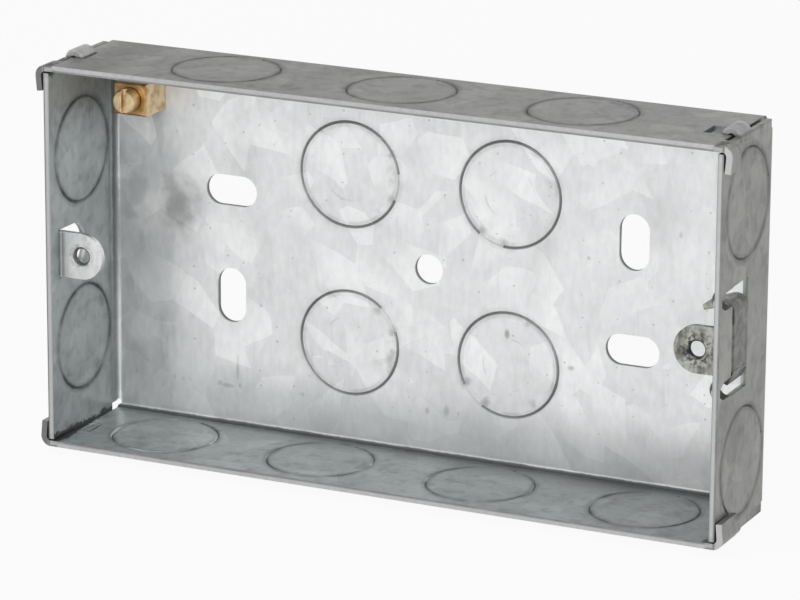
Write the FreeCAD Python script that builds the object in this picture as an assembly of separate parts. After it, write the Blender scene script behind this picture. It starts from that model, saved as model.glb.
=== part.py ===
import FreeCAD, Part
import math
import os

Vector = FreeCAD.Vector

# Box, in millimetres. The frame's origin is the middle of the back face. X runs along the
# width, Y into the wall and Z up, so the open front rim is at Y = -depth.
width = 131.5
height = 72.0
depth = 25.0
sheet = 1.1
short_bend = 1.5
long_bend = 1.0
seam = 0.55
wall_step = 0.2
relief_diameter = 1.2

# Knockouts: discs scored round their edges, each held by one plain tie
knockout_diameter = 20.2
score_width = 0.6
score_depth = 0.35
tie_width = 5.2
back_pitch = 31.8
top_pitch = 34.8
bottom_pitch = 31.9
left_pitch = 35.8
right_inset = 12.7
wall_knockout_setback = 12.0

# Holes in the back
centre_hole_diameter = 5.6
slot_length = 10.4
slot_width = 5.8
slot_offset_x = 40.0
slot_offset_z = 10.0

# Corner hooks of the long walls, which curl round the short walls at the front
hook_length = 4.8
hook_bend = 0.8
hook_gap = 0.55
hook_clearance = 0.35
hook_lean = 0.35
top_hook_width = 4.2
bottom_hook_width = 7.2

# Tongues of the short walls, which curl over the long walls into a slot
tongue_setback = 8.0
tongue_width = 4.8
tongue_bend = 0.8
tongue_crown = 1.4
lock_gap = 0.25
lock_slot_length = 1.8
spare_slot_length = 4.5
tongue_chamfer = 0.4

# Faceplate lugs. The inset of their holes from the sides puts these 120.6 apart.
lug_inset = 5.45
lug_width = 8.6
lug_setback = 3.4
lug_bend = 0.4
lug_core_diameter = 2.9
lug_chamfer = 0.4
lance_gap = 0.25

# Adjustable lug: a bent strip that slides up and down in a window of the right wall,
# between two dimples
lug_sheet = 1.0
slide_gap = 0.12
lug_drop = 1.4
window_setback = 6.0
window_width = 7.4
window_height = 19.6
joggle_run = 0.5
joggle_bend = 0.15
dimple_pitch = 16.0
dimple_setback = 1.0
dimple_radius = 1.65
dimple_wall = 0.55
dimple_sink = 0.4
roll_bend = 1.0
roll_height = 8.2
roll_run = 5.3
roll_fall = 1.6
tail_height = 4.4
tail_run = 1.0
tail_fall = 2.3

# Earth terminal on the back, in the upper left corner
terminal_width = 6.8
terminal_height = 6.1
terminal_length = 7.4
terminal_chamfer = 0.3
terminal_inset_x = 8.75
terminal_inset_z = 9.0
wire_hole_diameter = 3.4
wire_hole_setback = 4.6
spigot_diameter = 3.6
spigot_gap = 0.03

# Terminal screw, which has no head and stands part of the way out
screw_diameter = 4.5
screw_gap = 0.08
screw_length = 7.0
screw_proud = 2.6
screw_slot_width = 0.9
screw_slot_depth = 1.0
screw_chamfer = 0.25

# Levels and half sizes worked out from the sizes above
side = width / 2
top = height / 2
front = -depth
inner_side = side - sheet
inner_top = top - sheet
middle_side = side - sheet / 2
middle_top = top - sheet / 2
long_half = inner_side - seam
short_half = top - wall_step
short_corner = short_bend + sheet
long_corner = long_bend + sheet
lug_hole_x = side - lug_inset


def block(low, high):
    """Block from its lowest to its highest corner."""
    size = Vector(*high) - Vector(*low)
    return Part.makeBox(size.x, size.y, size.z, Vector(*low))


def rod(diameter, start, end):
    """Round bar between two points."""
    axis = Vector(*end) - Vector(*start)
    return Part.makeCylinder(diameter / 2, axis.Length, Vector(*start), axis)


def line(start, end):
    """Straight edge as a list, which is empty where two bends meet."""
    if start.distanceToPoint(end) < 1e-6:
        return []
    return [Part.LineSegment(start, end).toShape()]


def sheet_side(path, bends, normal, shift):
    """Edges of one face of a bent sheet, as far to the left of its centre line as shift says."""
    runs = [(end - start).normalize() for start, end in zip(path, path[1:])]
    lefts = [normal.cross(run) for run in runs]
    edges = []
    start = path[0] + lefts[0] * shift
    for index, bend in enumerate(bends):
        corner = path[index + 1]
        come, leave = runs[index], runs[index + 1]
        turn = math.atan2(normal.dot(come.cross(leave)), come.dot(leave))
        hand = math.copysign(1, turn)
        reach = bend * math.tan(abs(turn) / 2)
        centre = corner - come * reach + lefts[index] * (hand * bend)
        outward = (corner - centre).normalize()
        arc_start = corner - come * reach + lefts[index] * shift
        arc_middle = centre + outward * (bend - hand * shift)
        arc_end = corner + leave * reach + lefts[index + 1] * shift
        edges += line(start, arc_start)
        edges.append(Part.Arc(arc_start, arc_middle, arc_end).toShape())
        start = arc_end
    return edges + line(start, path[-1] + lefts[-1] * shift)


def bent_sheet(path, bends, thickness, sweep):
    """Folded sheet: straight runs with round bends along a centre line, swept to its width.

    path lists the centre line's ends and corners, and bends the inside radius at each corner.
    """
    path = [Vector(*point) for point in path]
    sweep = Vector(*sweep)
    normal = Vector(sweep).normalize()
    radii = [bend + thickness / 2 for bend in bends]
    left = sheet_side(path, radii, normal, thickness / 2)
    right = sheet_side(path, radii, normal, -thickness / 2)
    caps = line(left[0].firstVertex().Point, right[0].firstVertex().Point)
    caps += line(left[-1].lastVertex().Point, right[-1].lastVertex().Point)
    outline = Part.Wire(Part.__sortEdges__(left + right + caps))
    return Part.Face(outline).extrude(sweep)


def stadium(length, breadth, start, along, sweep):
    """Slot shape: straight sides and round ends, centred on start and swept."""
    along = Vector(*along) * ((length - breadth) / 2)
    sweep = Vector(*sweep)
    across = along.cross(sweep).normalize() * (breadth / 2)
    start = Vector(*start)
    tip = Vector(along).normalize() * (length / 2)
    edges = [
        Part.Arc(start + along + across, start + tip, start + along - across).toShape(),
        Part.LineSegment(start + along - across, start - along - across).toShape(),
        Part.Arc(start - along - across, start - tip, start - along + across).toShape(),
        Part.LineSegment(start - along + across, start + along + across).toShape(),
    ]
    return Part.Face(Part.Wire(edges)).extrude(sweep)


def mirrored_x(shape):
    """The same shape at the other end of the box."""
    return shape.mirror(Vector(0, 0, 0), Vector(1, 0, 0))


def mirrored_z(shape):
    """The same shape at the other long wall."""
    return shape.mirror(Vector(0, 0, 0), Vector(0, 0, 1))


def folded_blank():
    """Back and four walls of the cross-shaped blank, folded up, with open corners."""
    flat_half = top - long_corner
    long_walls = bent_sheet(
        [
            (-long_half, front, middle_top),
            (-long_half, -sheet / 2, middle_top),
            (-long_half, -sheet / 2, -middle_top),
            (-long_half, front, -middle_top),
        ],
        [long_bend, long_bend], sheet, (2 * long_half, 0, 0),
    )
    end_strip = block((side - short_corner, -sheet, -flat_half), (side, 0, flat_half))
    long_walls = long_walls.cut([end_strip, mirrored_x(end_strip)])
    short_walls = bent_sheet(
        [
            (-middle_side, front, -flat_half),
            (-middle_side, -sheet / 2, -flat_half),
            (middle_side, -sheet / 2, -flat_half),
            (middle_side, front, -flat_half),
        ],
        [short_bend, short_bend], sheet, (0, 0, 2 * flat_half),
    )
    wall_ends = block((inner_side, front, -short_half), (side, -short_corner, short_half))
    blank = long_walls.fuse([short_walls, wall_ends, mirrored_x(wall_ends)])
    relief = rod(relief_diameter, (long_half, -short_corner, flat_half), (long_half, 0, flat_half))
    return blank.cut(at_corners(relief, relief))


def corner_hook(hook_width):
    """Hook of the top wall round the front of the right wall."""
    hook_x = side + hook_gap + sheet / 2
    path = [
        (long_half - sheet, front, middle_top),
        (hook_x, front, middle_top),
        (hook_x - hook_lean, front, top - hook_length),
    ]
    return bent_sheet(path, [hook_bend], sheet, (0, hook_width, 0))


def hook_notch(hook_width):
    """Notch in the front of the right wall's edge, which lets the hook pass over it."""
    low = (inner_side, front, inner_top - hook_clearance)
    return block(low, (side, front + hook_width + hook_clearance, top))


def corner_tongue():
    """Tongue of the right wall, curled over the end of the top wall, with its front edge chamfered."""
    curl = 2 * tongue_bend + sheet
    crown = top + tongue_crown - sheet / 2
    start = front + tongue_setback
    path = [
        (middle_side, start, inner_top - sheet),
        (middle_side, start, crown),
        (middle_side - curl, start, crown),
        (middle_side - curl, start, inner_top),
    ]
    tongue = bent_sheet(path, [tongue_bend, tongue_bend], sheet, (0, tongue_width, 0))
    rims = [edge for edge in tongue.Edges if edge.BoundBox.YMax < start + tongue_chamfer and crowning(edge)]
    return tongue.makeChamfer(tongue_chamfer, rims)


def crowning(edge):
    """Whether an edge of a tongue lies on its outer face, above the wall."""
    middle = edge.valueAt((edge.FirstParameter + edge.LastParameter) / 2)
    reach = math.hypot(middle.x - inner_side + tongue_bend, middle.z - top)
    return middle.z > top and reach > tongue_bend + sheet / 2


def lock_slots():
    """Slots of the long walls that take the tongues' ends. The top right one runs on past it."""
    outer_x = inner_side - 2 * tongue_bend + lock_gap
    start = front + tongue_setback - lock_gap
    end = (outer_x, start + tongue_width + 2 * lock_gap, top)
    slot = block((outer_x - lock_slot_length, start, inner_top), end)
    spare = block((outer_x - spare_slot_length, start, inner_top), end)
    return at_corners(slot, slot) + [spare]


def at_corners(top_shape, bottom_shape):
    """A top right corner shape and a bottom one, at all four corners."""
    rights = [top_shape, mirrored_z(bottom_shape)]
    return rights + [mirrored_x(shape) for shape in rights]


def score_ring(centre, face_normal, tie_direction):
    """V groove round a knockout in one face of the sheet, left out at the tie."""
    centre = Vector(*centre)
    axis = Vector(*face_normal)
    radius = knockout_diameter / 2
    half_tie = math.degrees(math.asin(tie_width / 2 / radius))
    start = FreeCAD.Rotation(axis, half_tie).multVec(Vector(*tie_direction).normalize())
    outer = centre + start * radius
    inner = centre + start * (radius - score_width)
    floor = (outer + inner) * 0.5 - axis * score_depth
    profile = Part.Face(Part.makePolygon([outer, inner, floor, outer]))
    return profile.revolve(centre, axis, 360 - 2 * half_tie)


def through_score(outer_centre, normal, tie_direction):
    """Score rings of one knockout on both faces of its wall."""
    normal = Vector(*normal)
    inner_centre = Vector(*outer_centre) - normal * sheet
    return [
        score_ring(outer_centre, normal, tie_direction),
        score_ring(inner_centre, normal * -1, tie_direction),
    ]


def knockouts():
    """Score rings of every knockout. The top and right walls are scored from outside only.

    Wall ties are towards the back, and those of the back itself vary.
    """
    rings = []
    wall_y = front + wall_knockout_setback
    half_pitch = back_pitch / 2
    back_ties = {(-1, 1): -8, (1, 1): 248, (-1, -1): 34, (1, -1): 224}
    for (x_sign, z_sign), degrees in back_ties.items():
        angle = math.radians(degrees)
        centre = (x_sign * half_pitch, 0, z_sign * half_pitch)
        rings += through_score(centre, (0, 1, 0), (math.cos(angle), 0, math.sin(angle)))
    for x in (-top_pitch, 0, top_pitch):
        rings.append(score_ring((x, wall_y, top), (0, 0, 1), (0, 1, 0)))
    for step in (-1.5, -0.5, 0.5, 1.5):
        rings += through_score((step * bottom_pitch, wall_y, -top), (0, 0, -1), (0, 1, 0))
    for sign in (-1, 1):
        rings += through_score((-side, wall_y, sign * left_pitch / 2), (-1, 0, 0), (0, 1, 0))
        right = (side, wall_y, sign * (top - right_inset))
        rings.append(score_ring(right, (1, 0, 0), (0, 1, 0)))
    return rings


def back_holes():
    """Centre hole, the four fixing slots and the hole for the terminal's spigot."""
    through = (0, sheet, 0)
    holes = [rod(centre_hole_diameter, (0, -sheet, 0), (0, 0, 0))]
    for sign in (-1, 1):
        level = (sign * slot_offset_x, -sheet, -sign * slot_offset_z)
        upright = (sign * slot_offset_x, -sheet, sign * slot_offset_z)
        holes.append(stadium(slot_length, slot_width, level, (1, 0, 0), through))
        holes.append(stadium(slot_length, slot_width, upright, (0, 0, 1), through))
    x, z = terminal_place()
    holes.append(rod(spigot_diameter + 2 * spigot_gap, (x, -sheet, z), (x, 0, z)))
    return holes


def lug_outline(start, end):
    """Plan of a lug at the right end: straight sides and a round end about its hole."""
    bar = block((lug_hole_x, start, -lug_width / 2), (side, end, lug_width / 2))
    return bar.fuse(rod(lug_width, (lug_hole_x, start, 0), (lug_hole_x, end, 0)))


def lug_hole(start, end):
    """Core hole of a lug's thread, with a small chamfer at the front."""
    hole = rod(lug_core_diameter, (lug_hole_x, start, 0), (lug_hole_x, end, 0))
    radius = lug_core_diameter / 2
    mouth = Part.makeCone(
        radius + lug_chamfer, radius, lug_chamfer, Vector(lug_hole_x, start, 0), Vector(0, 1, 0)
    )
    return hole.fuse(mouth)


def fixed_lug():
    """Lug that is lanced from the wall and folded in, drawn at the right end."""
    face = front + lug_setback
    fold = face + sheet / 2
    path = [
        (middle_side, face - lug_bend - sheet, -lug_width / 2),
        (middle_side, fold, -lug_width / 2),
        (lug_hole_x - lug_width, fold, -lug_width / 2),
    ]
    strip = bent_sheet(path, [lug_bend], sheet, (0, 0, lug_width))
    lug = strip.common(lug_outline(front, face + sheet))
    return lug.cut(lug_hole(face, face + sheet))


def lance_opening():
    """Opening that the fixed lug leaves in its wall, drawn at the right end."""
    start = front + lug_setback - lug_bend
    fold_arc = math.pi / 2 * (lug_bend + sheet / 2)
    tip_run = middle_side - lug_bend - sheet / 2 - lug_hole_x
    round_y = start + fold_arc + tip_run
    half = lug_width / 2 + lance_gap
    slot = block((inner_side, start, -half), (side, round_y, half))
    return slot.fuse(rod(2 * half, (inner_side, round_y, 0), (side, round_y, 0)))


def dimple(z, radius):
    """Bar along Y with a tapered front end, sunk in the right wall and open to the window."""
    start = Vector(side - dimple_sink, front + dimple_setback + dimple_radius, z)
    end = start + Vector(0, window_setback - dimple_setback - dimple_radius, 0)
    nose = Part.makeCone(radius, radius / 2, radius, start, Vector(0, -1, 0))
    return rod(2 * radius, start, end).fuse(nose)


def slide_window():
    """Window of the right wall in which the adjustable lug slides."""
    start = front + window_setback
    half = window_height / 2
    return block((inner_side, start, -half), (side, start + window_width, half))


def box_shell():
    """Folded sheet box with its locks, lug, knockouts and holes, as one solid."""
    notches = at_corners(hook_notch(top_hook_width), hook_notch(bottom_hook_width))
    shell = folded_blank().cut(notches + lock_slots() + [mirrored_x(lance_opening())])
    hooks = at_corners(corner_hook(top_hook_width), corner_hook(bottom_hook_width))
    tongues = at_corners(corner_tongue(), corner_tongue())
    shell = shell.fuse(hooks + tongues + [mirrored_x(fixed_lug())])
    for sign in (-1, 1):
        z = sign * dimple_pitch / 2
        bump = dimple(z, dimple_radius + dimple_wall)
        bump = bump.common(block((0, front, -top), (side, 0, top)))
        shell = shell.fuse(bump).cut(dimple(z, dimple_radius))
    shell = shell.cut(back_holes() + [slide_window()])
    return shell.cut(knockouts()).removeSplitter()


def adjustable_lug():
    """Lug, its web behind the front strip, a joggle out through the window, and the flush pad.

    The pad's upper end rolls over into the box, and its lower end leans in as a tail.
    """
    face = front + lug_setback
    fold = face + lug_sheet / 2
    web_x = inner_side - slide_gap - lug_sheet / 2
    pad_x = side - lug_sheet / 2
    joggle = front + window_setback + lug_sheet / 2
    pad_start = joggle + joggle_run
    pad_end = front + window_setback + window_width - slide_gap
    lug_path = [
        (lug_hole_x - lug_width, fold, -lug_width / 2),
        (web_x, fold, -lug_width / 2),
        (web_x, joggle, -lug_width / 2),
        (pad_x, pad_start, -lug_width / 2),
        (pad_x, pad_end, -lug_width / 2),
    ]
    bends = [lug_bend, joggle_bend, joggle_bend]
    strip = bent_sheet(lug_path, bends, lug_sheet, (0, 0, lug_width))
    strip = strip.common(lug_outline(front, 0))
    pad_path = [
        (pad_x - roll_run, pad_start, roll_height - roll_fall),
        (pad_x, pad_start, roll_height),
        (pad_x, pad_start, -tail_height),
        (pad_x - tail_run, pad_start, -tail_height - tail_fall),
    ]
    pad = bent_sheet(pad_path, [roll_bend, roll_bend], lug_sheet, (0, pad_end - pad_start, 0))
    lug = strip.fuse(pad).cut(lug_hole(face, face + lug_sheet)).removeSplitter()
    lug.translate(Vector(0, 0, -lug_drop))
    return lug


def terminal_place():
    """X and Z of the terminal's axis."""
    return -side + terminal_inset_x, top - terminal_inset_z


def earth_terminal_block():
    """Brass block with a screw hole, a cross hole for the wire and a spigot through the back."""
    x, z = terminal_place()
    seat = -sheet
    face = seat - terminal_length
    half_x, half_z = terminal_width / 2, terminal_height / 2
    body = block((x - half_x, face, z - half_z), (x + half_x, seat, z + half_z))
    front_edges = [edge for edge in body.Edges if edge.BoundBox.YMax < seat]
    body = body.makeChamfer(terminal_chamfer, front_edges)
    body = body.fuse(rod(spigot_diameter, (x, seat, z), (x, 0, z)))
    wire_y = face + wire_hole_setback
    hole_end = wire_y + wire_hole_diameter / 2
    hole = rod(screw_diameter + 2 * screw_gap, (x, face, z), (x, hole_end, z))
    wire = rod(wire_hole_diameter, (x, wire_y, z - half_z), (x, wire_y, z + half_z))
    return body.cut([hole, wire]).removeSplitter()


def earth_terminal_screw():
    """Slotted screw with no head, standing out of the block."""
    x, z = terminal_place()
    crown = -sheet - terminal_length - screw_proud
    body = rod(screw_diameter, (x, crown, z), (x, crown + screw_length, z))
    rims = [edge for edge in body.Edges if edge.BoundBox.YLength < screw_chamfer]
    body = body.makeChamfer(screw_chamfer, rims)
    half_slot, half_width = screw_slot_width / 2, screw_diameter / 2
    low = (x - half_slot, crown, z - half_width)
    slot = block(low, (x + half_slot, crown + screw_slot_depth, z + half_width))
    return body.cut(slot).removeSplitter()


def main():
    """Write each piece to its own file."""
    os.makedirs("parts", exist_ok=True)
    pieces = {
        "box_shell": box_shell(),
        "adjustable_lug": adjustable_lug(),
        "earth_terminal_block": earth_terminal_block(),
        "earth_terminal_screw": earth_terminal_screw(),
    }
    for name, shape in pieces.items():
        shape.exportStep(f"parts/{name}.step")
        print(name, "solids", len(shape.Solids), "valid", shape.isValid(), "volume", round(shape.Volume, 1))


main()
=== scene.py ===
import logging
import math
from dataclasses import dataclass
from enum import Enum
from functools import reduce
from typing import Any, Dict, List, Optional, Tuple, Union

import bmesh
import bpy
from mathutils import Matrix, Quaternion, Vector


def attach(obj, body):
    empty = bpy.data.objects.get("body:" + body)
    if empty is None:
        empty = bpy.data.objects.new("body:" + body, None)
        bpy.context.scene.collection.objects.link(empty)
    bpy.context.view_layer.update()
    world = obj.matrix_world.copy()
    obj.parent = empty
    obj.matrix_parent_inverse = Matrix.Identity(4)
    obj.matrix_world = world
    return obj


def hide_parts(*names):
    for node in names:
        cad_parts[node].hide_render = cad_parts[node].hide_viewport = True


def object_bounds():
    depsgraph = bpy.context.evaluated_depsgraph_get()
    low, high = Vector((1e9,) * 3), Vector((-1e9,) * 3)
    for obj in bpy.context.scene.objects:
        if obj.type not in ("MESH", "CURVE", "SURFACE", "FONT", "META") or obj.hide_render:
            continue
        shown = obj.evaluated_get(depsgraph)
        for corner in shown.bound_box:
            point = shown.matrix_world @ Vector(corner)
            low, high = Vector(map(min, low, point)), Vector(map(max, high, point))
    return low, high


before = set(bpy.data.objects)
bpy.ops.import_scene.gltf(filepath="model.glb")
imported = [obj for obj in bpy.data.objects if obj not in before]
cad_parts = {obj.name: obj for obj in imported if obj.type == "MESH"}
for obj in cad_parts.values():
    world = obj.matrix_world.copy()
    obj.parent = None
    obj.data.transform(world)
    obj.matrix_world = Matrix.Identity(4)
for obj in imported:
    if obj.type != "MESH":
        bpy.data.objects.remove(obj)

Colour = Tuple[float, float, float]
Point = Tuple[float, float, float]
Span = Tuple[float, float]
Settings = Optional[Dict[str, Any]]
Sockets = Optional[Dict[Any, Any]]

CAD_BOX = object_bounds()
MM = 0.001
IMAGE_WIDTH_PX = 800
SENSOR_MM = 36.0
FULL_TURN = 2 * math.pi

log = logging.getLogger("back_box")


class Body(Enum):
    """Bodies that the pieces ride on."""

    BOX = "box"
    LUG = "lug"
    SCREW = "terminal_screw"


class Slot(Enum):
    """Material slots of the record."""

    SHEET = "galvanised_sheet"
    LUG = "plated_lug"
    BLOCK = "brass_block"
    SCREW = "brass_screw"


class Wall(Enum):
    """Walls of the box."""

    BACK = "back"
    TOP = "top"
    BOTTOM = "bottom"
    LEFT = "left"
    RIGHT = "right"


class Working(Enum):
    """How a brass piece was cut."""

    SAWN = "sawn"
    TURNED = "turned"


class CellAxes(Enum):
    """Whether random cells fill space or a plane."""

    SPACE = "3D"
    PLANE = "2D"


class MixSocket(Enum):
    """Places of a colour Mix node's sockets, whose names repeat."""

    FACTOR = 0
    A = 6
    B = 7
    RESULT = 2


class Value:
    """A shader socket that takes part in Python expressions."""

    def __init__(self, graph: "Graph", socket: bpy.types.NodeSocket) -> None:
        """Keeps the socket and the graph that it belongs to."""
        self.graph = graph
        self.socket = socket

    def _math(self, operation: str, *terms: "Number") -> "Value":
        """Adds one Math node on the given terms."""
        return self.graph.node("ShaderNodeMath", {"operation": operation}, dict(enumerate(terms)))

    def __add__(self, other: "Number") -> "Value":
        """self + other"""
        return self._math("ADD", self, other)

    __radd__ = __add__

    def __sub__(self, other: "Number") -> "Value":
        """self - other"""
        return self._math("SUBTRACT", self, other)

    def __rsub__(self, other: "Number") -> "Value":
        """other - self"""
        return self._math("SUBTRACT", other, self)

    def __mul__(self, other: "Number") -> "Value":
        """self * other"""
        return self._math("MULTIPLY", self, other)

    __rmul__ = __mul__

    def __truediv__(self, other: "Number") -> "Value":
        """self / other"""
        return self._math("DIVIDE", self, other)

    def __rtruediv__(self, other: "Number") -> "Value":
        """other / self"""
        return self._math("DIVIDE", other, self)

    def __abs__(self) -> "Value":
        """Absolute value."""
        return self._math("ABSOLUTE", self)

    def __pow__(self, power: "Number") -> "Value":
        """self to a power"""
        return self._math("POWER", self, power)

    def __rpow__(self, base: "Number") -> "Value":
        """base to the power of self"""
        return self._math("POWER", base, self)

    def least(self, other: "Number") -> "Value":
        """The smaller of two values."""
        return self._math("MINIMUM", self, other)

    def most(self, other: "Number") -> "Value":
        """The larger of two values."""
        return self._math("MAXIMUM", self, other)

    def hypotenuse(self, other: "Value") -> "Value":
        """Length of the vector (self, other)."""
        return (self * self + other * other) ** 0.5

    def wave(self) -> "Value":
        """Sine of the value, in radians."""
        return self._math("SINE", self)

    def centred(self) -> "Value":
        """The value less a half, so that a noise lies on both sides of 0."""
        return self - 0.5

    def graded(self, share: Span) -> "Value":
        """A least share, plus a second share where the value is high."""
        least, extra = share
        return least + self * extra

    def rise(self, low: float, high: float) -> "Value":
        """Smooth step from 0 at low to 1 at high, which falls where high is below low."""
        ends = {"Value": self, "From Min": low, "From Max": high}
        return self.graph.node("ShaderNodeMapRange", {"interpolation_type": "SMOOTHSTEP"}, ends)


Number = Union[Value, float, int]


def greatest(*values: Value) -> Value:
    """The largest of several values."""
    return reduce(Value.most, values)


@dataclass(frozen=True)
class Place:
    """Object coordinates in millimetres, whole and by axis."""

    spot: Value
    x: Value
    y: Value
    z: Value


@dataclass(frozen=True)
class Grain:
    """A noise: the size of its features in millimetres, its detail, and its stretch by axis."""

    size: float
    detail: float = 4.0
    stretch: Optional[Point] = None


class Graph:
    """Node tree of one material or world, built from expressions."""

    def __init__(self, owner: Union[bpy.types.Material, bpy.types.World]) -> None:
        """Empties the owner's node tree.

        Args:
            owner: a new material or world.
        """
        owner.use_nodes = True
        self.owner = owner
        self.tree = owner.node_tree
        self.tree.nodes.clear()

    @classmethod
    def of_material(cls, name: str) -> "Graph":
        """Graph of a new material with the given name."""
        return cls(bpy.data.materials.new(name))

    def add(self, kind: str, settings: Settings = None, inputs: Sockets = None) -> bpy.types.Node:
        """Adds one node.

        Args:
            kind: the node's type.
            settings: its properties, which are set first.
            inputs: values or links of its sockets, by name or place.

        Returns:
            The new node.
        """
        node = self.tree.nodes.new(kind)
        for name, setting in (settings or {}).items():
            setattr(node, name, setting)
        for key, given in (inputs or {}).items():
            if isinstance(given, Value):
                self.tree.links.new(given.socket, node.inputs[key])
            else:
                node.inputs[key].default_value = given
        return node

    def node(
        self,
        kind: str,
        settings: Settings = None,
        inputs: Sockets = None,
        output: Union[str, int] = 0,
    ) -> Value:
        """Adds one node as add does, and wraps the output of the given name or place."""
        return Value(self, self.add(kind, settings, inputs).outputs[output])

    def place(self) -> Place:
        """Reads the surface's own coordinates.

        Returns:
            Object coordinates in millimetres.
        """
        metres = self.node("ShaderNodeTexCoord", output="Object")
        spot = self.scaled(metres, 1 / MM)
        axes = [self.node("ShaderNodeSeparateXYZ", inputs={0: spot}, output=axis) for axis in "XYZ"]
        return Place(spot, *axes)

    def scaled(self, vector: Value, scale: float) -> Value:
        """A vector times a number."""
        inputs = {0: vector, "Scale": scale}
        return self.node("ShaderNodeVectorMath", {"operation": "SCALE"}, inputs)

    def stretched(self, vector: Value, scales: Point) -> Value:
        """A vector times one number per axis."""
        return self.node("ShaderNodeVectorMath", {"operation": "MULTIPLY"}, {0: vector, 1: scales})

    def summed(self, first: Value, second: Union[Value, Point]) -> Value:
        """Sum of two vectors."""
        return self.node("ShaderNodeVectorMath", {"operation": "ADD"}, {0: first, 1: second})

    def apart(self, first: Value, second: Value) -> Value:
        """Difference of two vectors."""
        return self.node("ShaderNodeVectorMath", {"operation": "SUBTRACT"}, {0: first, 1: second})

    def along(self, first: Value, second: Value) -> Value:
        """Dot product of two vectors."""
        settings = {"operation": "DOT_PRODUCT"}
        return self.node("ShaderNodeVectorMath", settings, {0: first, 1: second}, "Value")

    def noise(self, spot: Value, grain: Grain, output: Union[str, int] = 0) -> Value:
        """Noise of one grain.

        Args:
            spot: coordinates.
            grain: its size, detail and stretch.
            output: name or place of the output.

        Returns:
            The noise, about 0.5.
        """
        if grain.stretch is not None:
            spot = self.stretched(spot, grain.stretch)
        inputs = {"Vector": spot, "Scale": 1 / grain.size, "Detail": grain.detail}
        return self.node("ShaderNodeTexNoise", inputs=inputs, output=output)

    def cells(
        self, spot: Value, size: float, output: str = "Color", axes: CellAxes = CellAxes.SPACE
    ) -> Value:
        """Random cells.

        Args:
            spot: coordinates.
            size: about how wide a cell is, in millimetres.
            output: what is read of a cell: its random colour, its middle or the distance to that.
            axes: whether the cells fill space or a plane.

        Returns:
            The chosen output.
        """
        inputs = {"Vector": spot, "Scale": 1 / size}
        settings = {"voronoi_dimensions": axes.value}
        return self.node("ShaderNodeTexVoronoi", settings, inputs, output)

    def red(self, colour: Value) -> Value:
        """First channel of a colour, as a random number of its cell."""
        return self.node("ShaderNodeSeparateColor", inputs={0: colour})

    def blend(self, factor: Number, first: Any, second: Any, mode: str = "MIX") -> Value:
        """Mixes two colours.

        Args:
            factor: share of the second.
            first: a colour or a link.
            second: a colour or a link.
            mode: how they mix.

        Returns:
            The mixed colour.
        """
        ends = {MixSocket.FACTOR.value: factor}
        for key, given in ((MixSocket.A, first), (MixSocket.B, second)):
            ends[key.value] = given if isinstance(given, Value) else (*given, 1.0)
        settings = {"data_type": "RGBA", "blend_type": mode}
        return self.node("ShaderNodeMix", settings, ends, MixSocket.RESULT.value)

    def bump(self, height: Value, relief: Span, normal: Optional[Value] = None) -> Value:
        """Normal that a height gives.

        Args:
            height: the relief, from 0 to 1.
            relief: share of it that shows, and its full depth in millimetres.
            normal: normal that the relief stands on.

        Returns:
            The bent normal.
        """
        strength, depth = relief
        inputs = {"Height": height, "Strength": strength, "Distance": depth * MM}
        if normal is not None:
            inputs["Normal"] = normal
        return self.node("ShaderNodeBump", inputs=inputs)

    def surface(
        self, colour: Value, metallic: float, roughness: Value, normal: Value
    ) -> bpy.types.Material:
        """Ends the tree in one Principled shader.

        Args:
            colour: its base colour.
            metallic: how far it is bare metal, from 0 to 1.
            roughness: its roughness.
            normal: its bent normal.

        Returns:
            The finished material.
        """
        sockets = {
            "Base Color": colour,
            "Metallic": metallic,
            "Roughness": roughness,
            "Normal": normal,
        }
        self.end(self.node("ShaderNodeBsdfPrincipled", inputs=sockets))
        return self.owner

    def end(self, shader: Value) -> None:
        """Links a shader to the output of the material or world."""
        kind = "World" if isinstance(self.owner, bpy.types.World) else "Material"
        self.add(f"ShaderNodeOutput{kind}", inputs={"Surface": shader})


@dataclass(frozen=True)
class BoxPlan:
    """Sizes of the box that its finish follows, in millimetres and degrees."""

    side: float = 65.75
    top: float = 36.0
    depth: float = 25.0
    sheet: float = 1.1
    score_radius: float = 9.8
    score_half_width: float = 0.3
    back_half_pitch: float = 15.9
    back_ties: Tuple[Tuple[int, int, float], ...] = (
        (-1, 1, -8),
        (1, 1, 248),
        (-1, -1, 34),
        (1, -1, 224),
    )
    top_pitch: float = 34.8
    bottom_half_pitch: float = 15.95
    left_half_pitch: float = 17.9
    right_half_pitch: float = 23.3
    wall_centre_y: float = -13.0
    dimple_z: float = 8.0
    dimple_radius: float = 2.2
    window_y: float = -19.0
    lug_hole_x: float = 60.3
    lug_hole_radius: float = 1.45
    lug_reach: float = 54.0
    lug_face_y: float = -21.6
    terminal_x: float = -57.0
    terminal_z: float = 27.0

    @property
    def inner_side(self) -> float:
        """Half the width between the end walls."""
        return self.side - self.sheet

    @property
    def inner_top(self) -> float:
        """Half the height between the long walls."""
        return self.top - self.sheet

    def sheets(self, shares: Span) -> Span:
        """Two lengths that are given in thicknesses of the sheet."""
        first, second = shares
        return first * self.sheet, second * self.sheet


@dataclass(frozen=True)
class MapRules:
    """Where the masks of the walls start and are full, and the noises that all marks share."""

    wall_depth: Span = (1.9, 1.45)
    inner_face: Span = (-0.6, -0.9)
    outer_face: Span = (0.3, 0.6)
    lug_slab: Span = (1.0, 0.8)
    no_knockout: float = 100.0
    blotch: Grain = Grain(5.0, 5.0)
    fine: Grain = Grain(0.8)


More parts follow.
